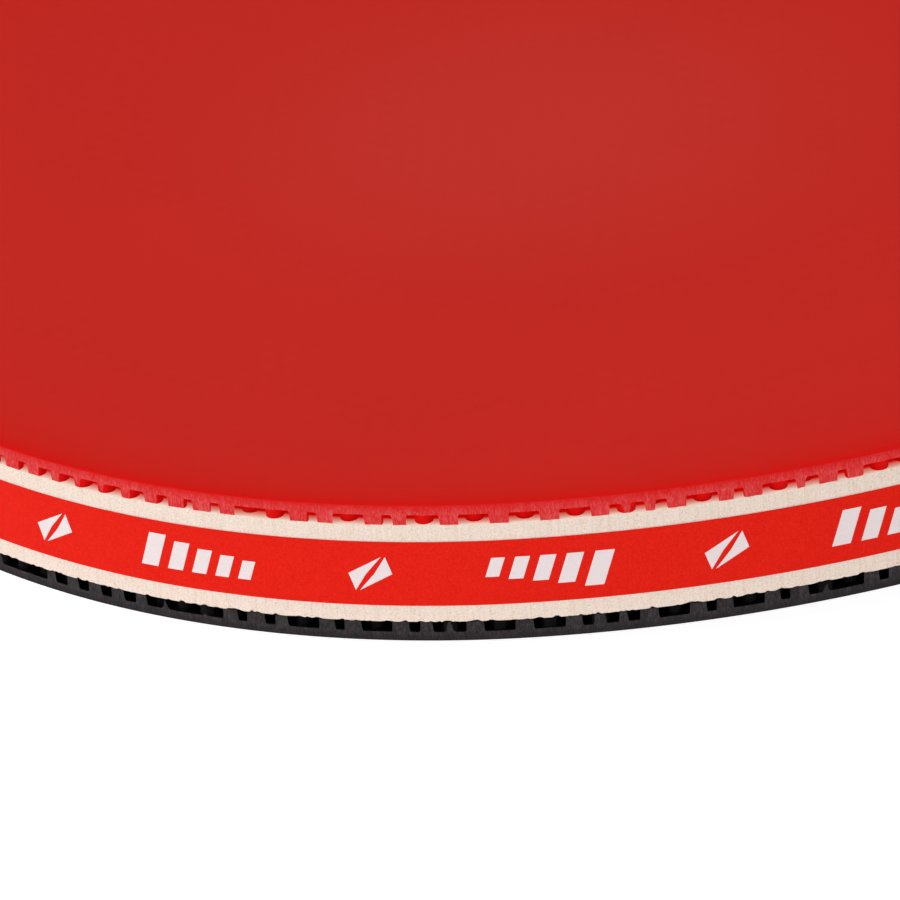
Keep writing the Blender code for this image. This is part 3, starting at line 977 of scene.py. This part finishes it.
badge, top = oval(BADGE_HALF_LENGTH, BADGE_HALF_WIDTH, BADGE_LOW.z, BADGE_HIGH.z - BADGE_BEVEL)
bmesh.ops.inset_region(badge, faces=[top], thickness=BADGE_BEVEL, depth=BADGE_BEVEL)
bmesh.ops.inset_region(badge, faces=[top], thickness=BORDER_WIDTH)
bmesh.ops.inset_region(badge, faces=[top], thickness=BORDER_STEP, depth=-BORDER_DEPTH)
ball = bmesh.ops.create_uvsphere(badge, u_segments=32, v_segments=16, radius=BALL_RADIUS)["verts"]
bmesh.ops.scale(badge, vec=(1.0, 1.0, BALL_FLATTENING), verts=ball)
ball_place = (BADGE_MIDDLE.x, BADGE_MIDDLE.y, BADGE_HIGH.z - BALL_SINK)
bmesh.ops.translate(badge, vec=ball_place, verts=ball)
fit("oval_badge", into_mesh("oval_badge", badge, badge_metal()), "badge_metal", "handle_badge")

for side, facing in (("red", 1.0), ("black", -1.0)):
    node = f"grip_centre_{side}_side"
    edges = (straight(-CENTRE_STRIP_HALF), straight(CENTRE_STRIP_HALF))
    strip = grip_strip(*edges, CENTRE_COLUMNS, facing)
    mesh = into_mesh(node, strip, GRIP_CENTRE_WOOD)
    if side == "red":
        pocket = oval(
            BADGE_HALF_LENGTH + POCKET_GAP,
            BADGE_HALF_WIDTH + POCKET_GAP,
            BADGE_LOW.z - POCKET_DEPTH,
            GRIP_TOP + POCKET_RISE,
        )[0]
        cutter = bpy.data.objects.new("badge pocket", into_mesh("badge pocket", pocket))
        blank = bpy.data.objects.new("blank strip", mesh)
        for thing in (cutter, blank):
            bpy.context.scene.collection.objects.link(thing)
        cut = blank.modifiers.new("pocket", "BOOLEAN")
        cut.operation = "DIFFERENCE"
        cut.object = cutter
        cut.solver = "EXACT"
        pocketed = blank.evaluated_get(bpy.context.evaluated_depsgraph_get())
        mesh = bpy.data.meshes.new_from_object(pocketed)
        mesh.shade_smooth()
        mesh.set_sharp_from_angle(angle=SHARP_ANGLE)
        for thing in (cutter, blank):
            bpy.data.objects.remove(thing, do_unlink=True)
    fit(f"red_{node}", mesh, "grip_centre_wood", node)

# ---- Studio --------------------------------------------------------------------------------------
# The paddle lies red side up on a white, evenly lit sweep, on its tip and the grip's front shoulder.
# A small soft light stands on the left in front, and a wide one hangs above. The room behind is white.

FLOOR_RADIUS = 4.0
FLOOR_GLOW = 0.95
ROOM_LIGHT = 0.12
SHOULDER_X = GRIP_FRONT_X + GRIP_RAMP
LEAN = math.atan2(GRIP_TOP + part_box("black_topsheet")[0].z, SHOULDER_X - TIP_X)


def white_sweep():
    recipe = Recipe("white_sweep", (0.8, 0.8, 0.8), 0.9, Specular_IOR_Level=0.0)
    recipe.shader.inputs["Emission Color"].default_value = (1.0, 1.0, 1.0, 1.0)
    recipe.shader.inputs["Emission Strength"].default_value = FLOOR_GLOW
    return recipe.material


sweep = bmesh.new()
bmesh.ops.create_circle(sweep, segments=64, radius=FLOOR_RADIUS, cap_ends=True)
bmesh.ops.rotate(sweep, cent=(0.0, 0.0, 0.0), matrix=Matrix.Rotation(LEAN, 3, "Y"), verts=sweep.verts)
bmesh.ops.translate(sweep, vec=(SHOULDER_X, 0.0, -GRIP_TOP), verts=sweep.verts)
floor = bpy.data.objects.new("white_sweep", into_mesh("white_sweep", sweep, white_sweep()))
bpy.context.scene.collection.objects.link(floor)
floor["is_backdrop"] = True


def soft_light(name, width, energy, azimuth, elevation, distance, aim):
    """A square soft light, placed by where it stands round the paddle, aimed at it."""
    data = bpy.data.lights.new(name, "AREA")
    data.shape = "SQUARE"
    data.size = width
    data.energy = energy
    light = bpy.data.objects.new(name, data)
    turn, tilt = math.radians(azimuth), math.radians(elevation)
    away = Vector((math.sin(turn) * math.cos(tilt), -math.cos(turn) * math.cos(tilt), math.sin(tilt)))
    light.location = aim + away * distance
    light.rotation_euler = away.to_track_quat("Z", "Y").to_euler()
    bpy.context.scene.collection.objects.link(light)


AIM = Vector((HEAD_CENTRE[0] - 0.00537, -HEAD_RADIUS + 0.00957, -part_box("black_topsheet")[0].z))
soft_light("key", width=0.6, energy=2.5, azimuth=-62.0, elevation=30.0, distance=0.95, aim=AIM)
soft_light("top", width=1.0, energy=12.5, azimuth=-20.0, elevation=84.0, distance=1.2, aim=AIM)

world = bpy.data.worlds.new("studio")
world.use_nodes = True
backdrop = world.node_tree.nodes["Background"]
backdrop.inputs["Color"].default_value = (1.0, 1.0, 1.0, 1.0)
rays = world.node_tree.nodes.new("ShaderNodeLightPath")
seen = world.node_tree.nodes.new("ShaderNodeMapRange")
seen.inputs["To Min"].default_value = ROOM_LIGHT
seen.inputs["To Max"].default_value = 1.0
world.node_tree.links.new(rays.outputs["Is Camera Ray"], seen.inputs["Value"])
world.node_tree.links.new(seen.outputs["Result"], backdrop.inputs["Strength"])
bpy.context.scene.world = world
bpy.context.scene.view_settings.view_transform = "Standard"

CAMERA_AZIMUTH = math.radians(-5.053)
CAMERA_ELEVATION = math.radians(28.378)
CAMERA_ROLL = math.radians(-5.660)
CAMERA_DISTANCE = 0.5502
LENS_LENGTH = 249.95
SENSOR_WIDTH = 36.0
view = Vector((
    math.sin(CAMERA_AZIMUTH) * math.cos(CAMERA_ELEVATION),
    math.cos(CAMERA_AZIMUTH) * math.cos(CAMERA_ELEVATION),
    -math.sin(CAMERA_ELEVATION),
))
level = Vector((math.cos(CAMERA_AZIMUTH), -math.sin(CAMERA_AZIMUTH), 0.0))
upright = level.cross(view)
right = level * math.cos(CAMERA_ROLL) + upright * math.sin(CAMERA_ROLL)
up = upright * math.cos(CAMERA_ROLL) - level * math.sin(CAMERA_ROLL)
lens = bpy.data.cameras.new("camera")
lens.lens = LENS_LENGTH
lens.sensor_width = SENSOR_WIDTH
lens.clip_start = 0.01
camera = bpy.data.objects.new("camera", lens)
turned = Matrix((right, up, -view)).transposed().to_4x4()
camera.matrix_world = Matrix.Translation(AIM - view * CAMERA_DISTANCE) @ turned
bpy.context.scene.collection.objects.link(camera)
bpy.context.scene.camera = camera

[[list(corner) for corner in box] for box in (cad_bounds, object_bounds())]
